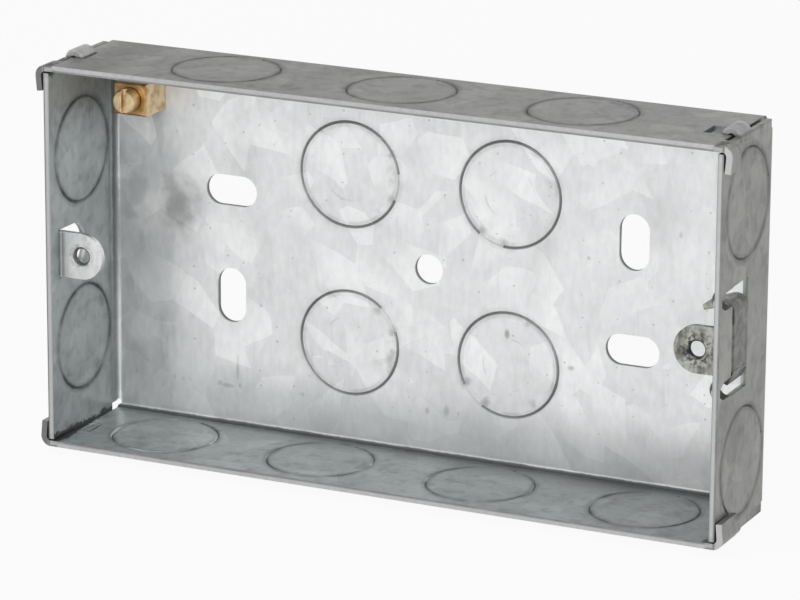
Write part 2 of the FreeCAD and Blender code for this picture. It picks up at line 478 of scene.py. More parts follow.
@dataclass(frozen=True)
class SheetMap:
    """What the coat is worked out from: coordinates, masks of the walls and two noises."""

    graph: Graph
    plan: BoxPlan
    rules: MapRules
    at: Place
    walls: Dict[Wall, Value]
    blotch: Value
    fine: Value

    @classmethod
    def of(cls, graph: Graph, plan: BoxPlan, rules: MapRules) -> "SheetMap":
        """Maps the box for one material.

        Args:
            graph: the material's graph.
            plan: sizes of the box.
            rules: where the masks start, and the noises.

        Returns:
            The map.
        """
        at = graph.place()
        near, deep = plan.sheets(rules.wall_depth)
        walls = {
            Wall.BACK: at.y.rise(-near, -deep),
            Wall.TOP: at.z.rise(plan.top - near, plan.top - deep),
            Wall.BOTTOM: at.z.rise(near - plan.top, deep - plan.top),
            Wall.LEFT: at.x.rise(near - plan.side, deep - plan.side),
            Wall.RIGHT: at.x.rise(plan.side - near, plan.side - deep),
        }
        blotch, fine = (graph.noise(at.spot, grain) for grain in (rules.blotch, rules.fine))
        return cls(graph, plan, rules, at, walls, blotch, fine)

    def noise(self, grain: Grain) -> Value:
        """Noise of one grain on the box."""
        return self.graph.noise(self.at.spot, grain)

    def long_walls(self) -> Value:
        """Mask of the top and the bottom."""
        return self.walls[Wall.TOP].most(self.walls[Wall.BOTTOM])

    def end_walls(self) -> Value:
        """Mask of the left and the right wall."""
        return self.walls[Wall.LEFT].most(self.walls[Wall.RIGHT])

    def inside_back(self) -> Value:
        """Mask of the back's inner face."""
        return self.walls[Wall.BACK] * self.at.y.rise(*self.plan.sheets(self.rules.inner_face))

    def lug_slab(self) -> Value:
        """Mask of the depths that the fixed lug's sheet takes up."""
        middle = abs(self.at.y - self.plan.lug_face_y - self.plan.sheet / 2)
        return middle.rise(*self.plan.sheets(self.rules.lug_slab))

    def from_knockout(self) -> Value:
        """Distance from the centre of the nearest knockout in the wall that a point lies on.

        Returns:
            The distance in millimetres.
        """
        plan, at = self.plan, self.at
        level_x, level_z = abs(at.x), abs(at.z)
        depth = at.y - plan.wall_centre_y
        inner_pair = abs(level_x - plan.bottom_half_pitch)
        outer_pair = abs(level_x - 3 * plan.bottom_half_pitch)
        centres = {
            Wall.BACK: (level_x - plan.back_half_pitch, level_z - plan.back_half_pitch),
            Wall.TOP: (level_x.least(abs(level_x - plan.top_pitch)), depth),
            Wall.BOTTOM: (inner_pair.least(outer_pair), depth),
            Wall.LEFT: (level_z - plan.left_half_pitch, depth),
            Wall.RIGHT: (level_z - plan.right_half_pitch, depth),
        }
        start, full = self.rules.outer_face
        scored_outside = {
            Wall.TOP: at.z.rise(plan.inner_top + start, plan.inner_top + full),
            Wall.RIGHT: at.x.rise(plan.inner_side + start, plan.inner_side + full),
        }
        radius: Number = self.rules.no_knockout
        for wall, (u, v) in centres.items():
            scored = self.walls[wall] * scored_outside.get(wall, 1.0)
            radius = radius + scored * (u.hypotenuse(v) - radius)
        return radius


@dataclass(frozen=True)
class Spangle:
    """Zinc crystals: long wedges of two lies over small flakes, clouds and a fine grain."""

    wedge_mm: float = 6.5
    wedge_stretch: float = 2.0
    wedge_chance: Span = (0.60, 0.66)
    wedge_fade: Span = (-1.3, 0.9)
    to_middle: Point = (-0.5, -0.5, -0.5)
    steep_lie: Point = (0.5, 0.75, 0.3)
    level_lie: Point = (0.2, -0.6, 0.9)
    level_shift: Point = (31.0, 17.0, 7.0)
    level_strength: float = 0.8
    waver: Grain = Grain(9.0, 1.0)
    waver_reach: float = 1.5
    flake_mm: float = 2.8
    cloud: Grain = Grain(16.0, 6.0)
    cloud_range: Span = (0.25, 0.75)
    grain: Grain = Grain(1.2, 3.0, (1.0, 1.0, 0.45))
    ground: float = 0.13
    wedge_strength: float = 0.44
    flake_strength: float = 0.12
    cloud_strength: float = 0.34
    grain_strength: float = 0.9

    def wedges(self, graph: Graph, spot: Value, lie: Point) -> Tuple[Value, Value]:
        """Long crystals of one lie, each fading from one side to the other.

        Args:
            graph: the material's graph.
            spot: coordinates.
            lie: angles of their long side.

        Returns:
            Brightness from 0 to 1, and a random vector per crystal.
        """
        inputs = {"Vector": spot, "Rotation": lie, "Scale": (self.wedge_stretch, 1.0, 1.0)}
        turned = graph.node("ShaderNodeMapping", {"vector_type": "TEXTURE"}, inputs)
        chance = graph.cells(turned, self.wedge_mm)
        lean = graph.summed(chance, self.to_middle)
        from_middle = graph.apart(turned, graph.cells(turned, self.wedge_mm, "Position"))
        fade = graph.along(from_middle, lean).rise(*self.wedge_fade)
        return graph.red(chance).rise(*self.wedge_chance) * fade, lean

    def build(self, sheet: SheetMap) -> Tuple[Value, Value]:
        """Works the crystals out.

        Args:
            sheet: map of the box.

        Returns:
            Brightness from 0 to 1, and a random vector per wedge.
        """
        graph, spot = sheet.graph, sheet.at.spot
        waver = graph.scaled(graph.noise(spot, self.waver, "Color"), self.waver_reach)
        wavy = graph.summed(spot, waver)
        steep, lean = self.wedges(graph, wavy, self.steep_lie)
        level, _ = self.wedges(graph, graph.summed(wavy, self.level_shift), self.level_lie)
        bright = self.ground + steep.most(level * self.level_strength) * self.wedge_strength
        bright = bright + graph.red(graph.cells(wavy, self.flake_mm)) * self.flake_strength
        bright = bright + sheet.noise(self.cloud).rise(*self.cloud_range) * self.cloud_strength
        return bright + sheet.noise(self.grain).centred() * self.grain_strength, lean


@dataclass(frozen=True)
class ScoreGrimeAndShade:
    """Dark line and soft halo of each score, partly grime and partly painted shade in and beside
    the groove, a pressed circle and the dents at the ties.

    A band holds the distances where a mark starts and is full. A strength of two numbers holds the
    least share of darkening and what patches add to it.
    """

    patches: Grain = Grain(3.5)
    patch_range: Span = (0.30, 0.70)
    line_reach: Span = (0.08, -0.24)
    line_strength: Span = (0.20, 0.34)
    # Painted shade: the left wall's lines are wider and darker and the top's paler, by how light
    # falls on them.
    left_line_wider: float = 0.25
    left_line_darker: float = 0.16
    top_line_paler: float = 0.4
    # The halo is painted shade beside the groove, partly grime.
    halo_band: Span = (1.5, 0.2)
    halo_strength: Span = (0.16, 0.32)
    back_halo_paler: float = 0.6
    lip_inset: float = 0.6
    lip_band: Span = (0.6, 0.1)
    lip_strength: Span = (0.08, 0.20)
    stain_inset: float = 0.8
    stain_band: Span = (2.4, 0.2)
    stain_patches: Span = (0.56, 0.70)
    stain_strength: float = 0.38
    pressed_band: Span = (0.30, 0.0)
    pressed_patches: Span = (0.50, 0.64)
    pressed_strength: float = 0.22
    dent_angle: float = 16.0
    dent_radius_share: float = 0.93
    dent_fray: float = 4.0
    dent_band: Span = (1.5, 0.1)
    dent_strength: float = 0.42

    def dents(self, sheet: SheetMap) -> Value:
        """Dents on both sides of each tie of the back's knockouts.

        Args:
            sheet: map of the box.

        Returns:
            The share of grime.
        """
        plan, at = sheet.plan, sheet.at
        fray = sheet.blotch.centred() * self.dent_fray
        reach = self.dent_radius_share * plan.score_radius
        dents: List[Value] = []
        for x_sign, z_sign, degrees in plan.back_ties:
            for side in (-self.dent_angle, self.dent_angle):
                angle = math.radians(degrees + side)
                x = x_sign * plan.back_half_pitch + reach * math.cos(angle)
                z = z_sign * plan.back_half_pitch + reach * math.sin(angle)
                away = (at.x - x).hypotenuse(at.z - z) + fray
                dents.append(away.rise(*self.dent_band))
        return greatest(*dents) * sheet.walls[Wall.BACK] * self.dent_strength

    def build(self, sheet: SheetMap) -> Value:
        """Works the grime and painted shade of the scores out.

        Args:
            sheet: map of the box.

        Returns:
            The share of grime and painted shade.
        """
        plan, walls, blotch = sheet.plan, sheet.walls, sheet.blotch
        off = sheet.from_knockout() - plan.score_radius
        patchy = sheet.noise(self.patches).rise(*self.patch_range)
        start, full = (plan.score_half_width + reach for reach in self.line_reach)
        # Dark line in the groove: partly grime, partly painted shade; wider and darker on the left
        # wall, paler on the top.
        line = (abs(off) - walls[Wall.LEFT] * self.left_line_wider).rise(start, full)
        line = line * (patchy.graded(self.line_strength) + walls[Wall.LEFT] * self.left_line_darker)
        line = line * (1 - walls[Wall.TOP] * self.top_line_paler)
        halo = abs(off).rise(*self.halo_band) * patchy.graded(self.halo_strength)
        halo = halo * (1 - walls[Wall.BACK] * self.back_halo_paler)
        lip = abs(off + self.lip_inset).rise(*self.lip_band) * patchy.graded(self.lip_strength)
        lip = lip * walls[Wall.BACK]
        stain = abs(off + self.stain_inset).rise(*self.stain_band)
        stain = stain * blotch.rise(*self.stain_patches) * self.stain_strength
        pressed = abs(off + plan.score_radius / 2).rise(*self.pressed_band)
        pressed = pressed * blotch.rise(*self.pressed_patches) * self.pressed_strength
        return greatest(line, halo, lip, stain, pressed, self.dents(sheet))


@dataclass(frozen=True)
class FoldGrimeAndShade:
    """Painted shade, with some dirt, in the inside folds, near the bottom fold, low on the back, in
    the fixed lug's bend and the dimples' hollows; dark corner seams and cut holes.

    A band holds the distances where a mark starts and is full, and a limit the places.
    """

    fray: float = 0.8
    edge_fray: float = 0.5
    fold_sheets: float = 1.2
    long_fold_inset: float = 0.2
    long_fold_band: Span = (0.75, 0.25)
    long_fold_strength: float = 0.8
    end_fold_inset: float = 0.5
    end_fold_band: Span = (0.95, 0.45)
    end_fold_height: Span = (-30.0, 12.0)
    end_fold_strength: Span = (0.3, 0.45)
    # Painted shade near the lower fold and painted reflection low on the back.
    low_shade_run: Span = (-60.0, 60.0)
    bottom_shade_depth: Span = (-10.0, -1.5)
    bottom_shade_strength: Span = (0.06, 0.16)
    bottom_shade_more: float = 0.28
    back_low_shade_height: Span = (-19.0, -33.0)
    back_low_shade_strength: float = 0.22
    back_low_shade_more: float = 0.20
    seam_fray: float = 2.6
    seam_front: Span = (-9.0, -22.0)
    seam_front_patches: Span = (0.35, 0.65)
    seam_front_wider: float = 1.1
    seam_band: Span = (0.95, 0.35)
    seam_strength: float = 0.85
    hole_limit_x: Span = (63.0, 62.5)
    hole_limit_z: Span = (33.0, 32.5)
    hole_sheets: Span = (0.46, 0.36)
    hole_strength: float = 0.6
    thread_band: Span = (0.45, 0.2)
    thread_strength: float = 0.85
    worn_band: Span = (1.5, 0.2)
    worn_patches: Span = (0.38, 0.62)
    worn_strength: float = 0.50
    # Painted shade in the fixed lug's bend.
    bend_limit_x: Span = (-63.4, -63.9)
    bend_limit_z: Span = (4.3, 3.9)
    bend_strength: float = 0.45
    # Painted shade in the dimples' hollows.
    hollow_inset: float = 0.4
    hollow_edge: float = 0.15
    hollow_skin: Span = (-0.05, -0.2)
    window_edge: Span = (0.05, -0.05)
    rim_limit: Span = (-24.6, -24.2)
    right_half: Span = (0.0, 1.0)
    hollow_strength: float = 0.9

    def fold_shade_and_grime(self, sheet: SheetMap, fray: Value) -> Value:
        """Painted shade, with some dirt, where the walls meet the back, also over the end folds'
        highlight.

        Args:
            sheet: map of the box.
            fray: what makes its edge uneven.

        Returns:
            The share of painted shade and dirt.
        """
        plan, at = sheet.plan, sheet.at
        from_back = at.y + self.fold_sheets * plan.sheet
        from_long = abs(at.z) - plan.inner_top + self.long_fold_inset
        from_end = abs(at.x) - plan.inner_side + self.end_fold_inset
        uneven = fray * self.edge_fray
        long_fold = (from_long.hypotenuse(from_back) + uneven).rise(*self.long_fold_band)
        end_fold = (from_end.hypotenuse(from_back) + uneven).rise(*self.end_fold_band)
        # Painted shade up the end folds, darker towards the top.
        height = at.z.rise(*self.end_fold_height)
        end_fold = end_fold * height.graded(self.end_fold_strength)
        return greatest(long_fold * self.long_fold_strength, end_fold)

    def low_shade(self, sheet: SheetMap) -> Value:
        """Painted shade on the bottom near the back fold, and painted darkening low on the back for
        the bottom wall's reflection, more at the right.

        Args:
            sheet: map of the box.

        Returns:
            The share of painted shade.
        """
        at, blotch = sheet.at, sheet.blotch
        more = at.x.rise(*self.low_shade_run)
        on_wall = at.y.rise(*self.bottom_shade_depth) * sheet.walls[Wall.BOTTOM]
        on_wall = on_wall * (blotch.graded(self.bottom_shade_strength) + more * self.bottom_shade_more)
        on_back = at.z.rise(*self.back_low_shade_height) * sheet.walls[Wall.BACK]
        on_back = on_back * (blotch * self.back_low_shade_strength + more * self.back_low_shade_more)
        return greatest(on_wall, on_back)

    def seams(self, sheet: SheetMap, fray: Value) -> Value:
        """Ragged dark seams up the corners, wider towards the front.

        Args:
            sheet: map of the box.
            fray: what makes their edge uneven.

        Returns:
            The share of grime.
        """
        plan, at = sheet.plan, sheet.at
        wider = sheet.blotch.rise(*self.seam_front_patches) * self.seam_front_wider
        ragged = fray * self.seam_fray - at.y.rise(*self.seam_front) * wider
        seam = (abs(at.x) - plan.inner_side).hypotenuse(abs(at.z) - plan.inner_top) + ragged
        return seam.rise(*self.seam_band) * self.seam_strength

    def holes(self, sheet: SheetMap, fray: Value) -> Value:
        """Dark cut edges of the back's holes, and the lugs' threads with a worn ring.

        Args:
            sheet: map of the box.
            fray: what makes their edge uneven.

        Returns:
            The share of grime.
        """
        plan, at = sheet.plan, sheet.at
        level_x, level_z = abs(at.x), abs(at.z)
        cut = abs(at.y + plan.sheet / 2).rise(*plan.sheets(self.hole_sheets))
        cut = cut * level_x.rise(*self.hole_limit_x) * level_z.rise(*self.hole_limit_z)
        from_thread = (level_x - plan.lug_hole_x).hypotenuse(level_z) - plan.lug_hole_radius
        thread = (from_thread + fray * self.edge_fray).rise(*self.thread_band)
        worn = from_thread.rise(*self.worn_band) * sheet.fine.rise(*self.worn_patches)
        thread = greatest(thread * self.thread_strength, worn * self.worn_strength)
        return greatest(cut * self.hole_strength, thread * (1 - sheet.walls[Wall.BACK]))

    def lug_bend_shade(self, sheet: SheetMap) -> Value:
        """Share of painted shade in the bend of the fixed lug, over its highlight."""
        bend = sheet.lug_slab() * sheet.at.x.rise(*self.bend_limit_x)
        return bend * abs(sheet.at.z).rise(*self.bend_limit_z) * self.bend_strength

    def dimple_hollow_shade(self, sheet: SheetMap) -> Value:
        """Painted shade in the hollows of the two dimples that guide the sliding lug.

        Args:
            sheet: map of the box.

        Returns:
            The share of painted shade.
        """
        plan, at = sheet.plan, sheet.at
        away = (at.x - plan.side + self.hollow_inset).hypotenuse(abs(at.z) - plan.dimple_z)
        hollow = away.rise(plan.dimple_radius + self.hollow_edge, plan.dimple_radius)
        hollow = hollow * at.x.rise(*(plan.side + skin for skin in self.hollow_skin))
        hollow = hollow * at.y.rise(*(plan.window_y + edge for edge in self.window_edge))
        hollow = hollow * at.y.rise(*self.rim_limit) * at.x.rise(*self.right_half)
        return hollow * self.hollow_strength

    def build(self, sheet: SheetMap) -> Value:
        """Works the dirt and painted shade of the folds, seams, holes and hollows out.

        Args:
            sheet: map of the box.

        Returns:
            The share of grime and painted shade.
        """
        fray = sheet.blotch.centred() * self.fray + sheet.fine.centred() * self.fray
        return greatest(
            self.fold_shade_and_grime(sheet, fray),
            self.low_shade(sheet),
            self.seams(sheet, fray),
            self.holes(sheet, fray),
            self.lug_bend_shade(sheet),
            self.dimple_hollow_shade(sheet),
        )


@dataclass(frozen=True)
class DarkPatch:
    """One dark patch on the back's inside: its middle, half its width and height, its strength."""

    x: float
    z: float
    wide: float
    high: float
    strength: float


@dataclass(frozen=True)
class MarksAndShadows:
    """Specks, smears and rubbed streaks, press marks low on the back, dark patches on it, and
    painted shadows: the left wall's along the back's left and one in the upper right corner.
    """

    speck_mm: float = 3.4
    speck_chance: float = 0.58
    speck_growth: float = 0.17
    speck_edge: Span = (0.03, -0.03)
    speck_strength: Span = (0.08, 0.45)
    smear: Grain = Grain(14.0, 7.0, (1.0, 1.0, 0.55))
    smear_range: Span = (0.52, 0.80)
    smear_strength: float = 0.20
    mottle: Grain = Grain(2.6, 6.0)
    mottle_range: Span = (0.45, 0.75)
    mottle_strength: float = 0.24
    upright: Grain = Grain(1.3, 3.0, (1.0, 1.0, 0.1))
    rub_range: Span = (0.58, 0.80)
    rub_strength: float = 0.10
    press_z: float = -27.3
    press_band: Span = (1.0, 0.1)
    press_strokes: Span = (0.52, 0.64)
    press_limit: Span = (-18.0, -22.0)
    press_patches: Span = (0.40, 0.6)
    press_strength: float = 0.34
    # Painted shadow of the left wall along the back's left, uneven.
    left_wall_shadow: Grain = Grain(4.0, 5.0, (1.0, 1.0, 0.35))
    left_shadow_range: Span = (0.45, 0.61)
    left_shadow_limit: Span = (-50.5, -54.0)
    left_shadow_strength: Span = (0.14, 0.16)
    patch_fray: Grain = Grain(3.5, 2.0)
    patch_fray_reach: float = 1.6
    patch_fine_reach: float = 0.2
    patch_band: Span = (1.5, 0.2)
    dark_patches: Tuple[DarkPatch, ...] = (
        DarkPatch(-60.0, 6.6, 4.0, 6.0, 0.40),
        DarkPatch(-51.2, 6.4, 3.6, 4.8, 0.56),
        # A darker patch just below the terminal.
        DarkPatch(-60.0, 18.5, 5.0, 6.0, 0.28),
        # Painted shadow in the upper right inner corner.
        DarkPatch(57.0, 31.5, 3.4, 3.4, 0.70),
        DarkPatch(-38.9, -24.5, 0.45, 3.0, 0.32),
        DarkPatch(-40.9, -27.6, 1.8, 0.5, 0.36),
        DarkPatch(-0.1, -26.8, 0.55, 0.9, 0.40),
        DarkPatch(3.7, -26.3, 0.75, 1.1, 0.40),
        DarkPatch(6.1, -26.5, 0.4, 0.7, 0.32),
        DarkPatch(15.6, -10.1, 0.45, 0.75, 0.55),
        DarkPatch(28.2, -14.8, 0.7, 0.45, 0.40),
        DarkPatch(31.3, 6.1, 0.45, 0.4, 0.35),
        DarkPatch(48.8, 12.5, 0.45, 0.8, 0.30),
    )

    def specks(self, sheet: SheetMap) -> Value:
        """Small dark specks of random size.

        Args:
            sheet: map of the box.

        Returns:
            The share of grime.
        """
        graph, plane = sheet.graph, CellAxes.PLANE
        flat = graph.node("ShaderNodeCombineXYZ", inputs={0: sheet.at.x, 1: sheet.at.z})
        chance = graph.red(graph.cells(flat, self.speck_mm, axes=plane))
        radius = (chance - self.speck_chance) * self.speck_growth
        speck = graph.cells(flat, self.speck_mm, "Distance", plane) - radius
        return speck.rise(*self.speck_edge) * sheet.blotch.graded(self.speck_strength)

    def dark_patch_share(self, sheet: SheetMap) -> Value:
        """The dark patches, smudges and one painted shadow, with uneven edges.

        Args:
            sheet: map of the box.

        Returns:
            The share of grime and painted shadow.
        """
        at = sheet.at
        fray = sheet.noise(self.patch_fray).centred() * self.patch_fray_reach
        fray = fray + sheet.fine.centred() * self.patch_fine_reach
        shares: List[Value] = []
        for dark_patch in self.dark_patches:
            across, up = (at.x - dark_patch.x) / dark_patch.wide, (at.z - dark_patch.z) / dark_patch.high
            share = (across.hypotenuse(up) + fray).rise(*self.patch_band)
            shares.append(share * dark_patch.strength)
        return greatest(*shares)

    def build(self, sheet: SheetMap) -> Value:
        """Works the marks and painted shadows out.

        Args:
            sheet: map of the box.

        Returns:
            The share of grime and painted shadow.
        """
        at, blotch = sheet.at, sheet.blotch
        inside = sheet.inside_back()
        upright = sheet.noise(self.upright)
        smear = sheet.noise(self.smear).rise(*self.smear_range) * self.smear_strength
        mottle = sheet.noise(self.mottle).rise(*self.mottle_range) * self.mottle_strength
        smear = smear + mottle * (1 - sheet.walls[Wall.BACK])
        rub = upright.rise(*self.rub_range) * self.rub_strength
        press = abs(at.z - self.press_z).rise(*self.press_band) * at.x.rise(*self.press_limit)
        press = press * upright.rise(*self.press_strokes)
        press = press * blotch.rise(*self.press_patches) * self.press_strength
        # Painted shadow of the left wall on the back's left band.
        left_wall_shadow = sheet.noise(self.left_wall_shadow).rise(*self.left_shadow_range)
        left_wall_shadow = at.x.rise(*self.left_shadow_limit) * left_wall_shadow.graded(self.left_shadow_strength)
        on_back = greatest(self.specks(sheet), press, left_wall_shadow, self.dark_patch_share(sheet))
        return greatest(smear + rub, on_back * inside)


@dataclass(frozen=True)
class PaintedWallShade:
    """Painted shade that darkens the walls, the outside and the fixed lug against the back's
    inside, by how each faces the light.
    """

    # Painted shade: each face is a darker copy of the coat by how it faces the light; end is the
    # end walls' inner faces, low the long walls'.
    end: Colour = (0.585, 0.62, 0.615)
    low: Colour = (0.445, 0.476, 0.476)
    # Painted lighter at the long walls' left, offsetting the reflection of the shaded left wall;
    # painted darker at their right.
    low_left: Colour = (0.64, 0.68, 0.68)
    low_right: Colour = (0.35, 0.373, 0.37)
    # Painted shade of the end walls' outsides and the back's outside, darker at the left.
    upper_left: Colour = (0.26, 0.26, 0.25)
    upper: Colour = (0.31, 0.31, 0.30)
    # Painted shade of the long walls' outsides.
    outer_shade: Colour = (0.385, 0.387, 0.362)
    # Painted highlight on the tongues that curl over the long walls.
    curl: Colour = (0.50, 0.50, 0.49)
    # The fixed lug, facing the lamps, gets only a little painted shade.
    lug: Colour = (0.84, 0.845, 0.84)
    outer_sheets: Span = (-0.7, -0.4)
    low_left_run: Span = (-64.0, -22.0)
    low_right_run: Span = (8.0, 60.0)
    upper_run: Span = (-62.0, 62.0)
    lug_end: float = 1.0
    curl_reach: Span = (0.05, 0.3)

    def build(self, sheet: SheetMap, colour: Value) -> Tuple[Value, Value]:
        """Darkens the bright coat with painted shade.

        Args:
            sheet: map of the box.
            colour: the bright coat's colour.

        Returns:
            The shaded colour, and the share that is shaded.
        """
        graph, plan, at = sheet.graph, sheet.plan, sheet.at
        core, skin = plan.sheets(self.outer_sheets)
        outer_x = abs(at.x).rise(plan.side + core, plan.side + skin)
        outer_z = abs(at.z).rise(plan.top + core, plan.top + skin)
        outside = greatest(outer_x, outer_z, at.y.rise(core, skin))
        low = graph.blend(at.x.rise(*self.low_left_run), self.low_left, self.low)
        low = graph.blend(at.x.rise(*self.low_right_run), low, self.low_right)
        wall_shade = graph.blend(sheet.long_walls(), self.end, low)
        upper = graph.blend(at.x.rise(*self.upper_run), self.upper_left, self.upper)
        wall_shade = graph.blend(outside, wall_shade, graph.blend(outer_z, self.outer_shade, upper))
        wall_shaded = greatest(sheet.long_walls(), sheet.end_walls(), outside)
        lug = sheet.lug_slab() * at.x.rise(-plan.lug_reach, -plan.lug_reach - self.lug_end)
        lug = lug * (1 - wall_shaded)
        wall_shade = graph.blend(lug, wall_shade, self.lug)
        # Painted highlight on the tongues above the long walls.
        curl = abs(at.z).rise(*(plan.top + reach for reach in self.curl_reach))
        wall_shade = graph.blend(curl, wall_shade, self.curl)
        wall_shaded = wall_shaded.most(lug)
        return graph.blend(wall_shaded, colour, graph.blend(1.0, colour, wall_shade, "MULTIPLY")), wall_shaded


@dataclass(frozen=True)
class CutRim:
    """Bare cut edge of the front rim, with dark lines along it and painted shade on the left hooks'
    front edges.

    A line holds the distances from the walls' inner faces where it starts and is full.
    """

    edge: Colour = (0.48, 0.475, 0.48)
    # Dark colour of the rim's lines and of the left hooks' painted shade.
    line: Colour = (0.14, 0.14, 0.14)
    depth: Span = (0.14, 0.05)
    cover: Span = (0.6, 0.6)
    long_line: Span = (0.55, 0.15)
    end_line: Span = (0.70, 0.90)
    end_line_stop: Span = (1.25, 1.15)
    end_inner_line: Span = (0.4, 0.1)
    end_inner_strength: float = 0.5
    # Painted shade on the front edges of the hooks outside the left wall.
    left_hook_shade_reach: float = 0.3
    left_hook_shade_strength: float = 0.9
    line_strength: Span = (0.35, 0.8)

    def build(self, sheet: SheetMap, colour: Value) -> Tuple[Value, Value]:
        """Bares the rim.

        Args:
            sheet: map of the box.
            colour: the coat's colour.

        Returns:
            The colour with the rim, and the rim's mask.
        """
        graph, plan, at = sheet.graph, sheet.plan, sheet.at
        across = (abs(at.x) - plan.inner_side).most(abs(at.z) - plan.inner_top)
        ends = sheet.end_walls()
        long_line = across.rise(*self.long_line) * (1 - ends)
        end_line = across.rise(*self.end_line) * across.rise(*self.end_line_stop)
        end_inner = across.rise(*self.end_inner_line) * self.end_inner_strength
        line = long_line + greatest(end_line, end_inner) * ends
        # Painted shade on the front edges of the hooks outside the left wall.
        left_hook_shade = at.x.rise(-plan.side, -plan.side - self.left_hook_shade_reach) * self.left_hook_shade_strength
        line = greatest(line * sheet.blotch.graded(self.line_strength), left_hook_shade)
        rim = (plan.depth + at.y).rise(*self.depth)
        cut = graph.blend(line, self.edge, self.line)
        return graph.blend(rim * sheet.fine.graded(self.cover), colour, cut), rim


@dataclass(frozen=True)
class GalvanisedSheet:
    """Zinc coat with angular spangle, grime and painted shade in the score lines and folds, painted
    wall shade, handling marks and painted shadows.
    """

    plan: BoxPlan = BoxPlan()
    rules: MapRules = MapRules()
    spangle: Spangle = Spangle()
    wall_shade: PaintedWallShade = PaintedWallShade()
    rim: CutRim = CutRim()
    scores: ScoreGrimeAndShade = ScoreGrimeAndShade()
    fold_shade_and_grime: FoldGrimeAndShade = FoldGrimeAndShade()
    marks: MarksAndShadows = MarksAndShadows()
    bright: Colour = (0.88, 0.885, 0.89)
    dull: Colour = (0.645, 0.655, 0.66)
    # Dark colour of grime and of painted shade and shadows.
    dark_tone: Colour = (0.045, 0.047, 0.045)
    rim_cleaner: float = 0.8
    metallic: float = 0.8
    roughness: float = 0.31
    wall_rougher: float = 0.10
    terminal_rougher: float = 0.3
    terminal_band: Span = (14.0, 6.0)
    crystal_smoother: float = 0.05
    dark_tone_rougher: float = 0.2
    fine_rougher: float = 0.06
    spangle_tilt: float = 0.02
    dents: Grain = Grain(7.0, 2.0)
    dent_height: float = 0.8
    fine_height: float = 0.07
    relief: Span = (0.5, 0.10)

    def rough(self, sheet: SheetMap, wall_shaded: Value, bright: Value, dark_tone: Value) -> Value:
        """Roughness, higher on the shaded walls, in grime and painted shade, and round the
        terminal.

        Args:
            sheet: map of the box.
            wall_shaded: share of painted wall shade.
            bright: brightness of the crystals.
            dark_tone: share of grime and painted shade.

        Returns:
            The roughness.
        """
        plan, at = sheet.plan, sheet.at
        away = (at.x - plan.terminal_x).hypotenuse(at.z - plan.terminal_z)
        by_terminal = away.rise(*self.terminal_band) * self.terminal_rougher
        rough = self.roughness + (wall_shaded * self.wall_rougher).most(by_terminal)
        rough = rough - bright * self.crystal_smoother
        return rough + dark_tone * self.dark_tone_rougher + sheet.fine * self.fine_rougher

    def leaned(self, graph: Graph, lean: Value) -> Value:
        """Normal that each crystal tilts a little.

        Args:
            graph: the material's graph.
            lean: a random vector per crystal.

        Returns:
            The tilted normal.
        """
        facing = graph.node("ShaderNodeNewGeometry", output="Normal")
        tilted = graph.summed(facing, graph.scaled(lean, self.spangle_tilt))
        return graph.node("ShaderNodeVectorMath", {"operation": "NORMALIZE"}, {0: tilted})

    def material(self) -> bpy.types.Material:
        """Builds the coat's nodes.

        Returns:
            The zinc coat's material.
        """
        graph = Graph.of_material("galvanised_zinc")
        sheet = SheetMap.of(graph, self.plan, self.rules)
        bright, lean = self.spangle.build(sheet)
        colour, wall_shaded = self.wall_shade.build(sheet, graph.blend(bright, self.dull, self.bright))
        colour, rim = self.rim.build(sheet, colour)
        layers = (self.scores, self.fold_shade_and_grime, self.marks)
        # Grime together with painted shade and shadows, in one dark colour.
        dark_tone = greatest(*(layer.build(sheet) for layer in layers)) * (1 - rim * self.rim_cleaner)
        colour = graph.blend(dark_tone, colour, self.dark_tone)
        height = sheet.noise(self.dents) * self.dent_height + sheet.fine * self.fine_height
        normal = graph.bump(height, self.relief, self.leaned(graph, lean))
        roughness = self.rough(sheet, wall_shaded, bright, dark_tone)
        return graph.surface(colour, self.metallic, roughness, normal)


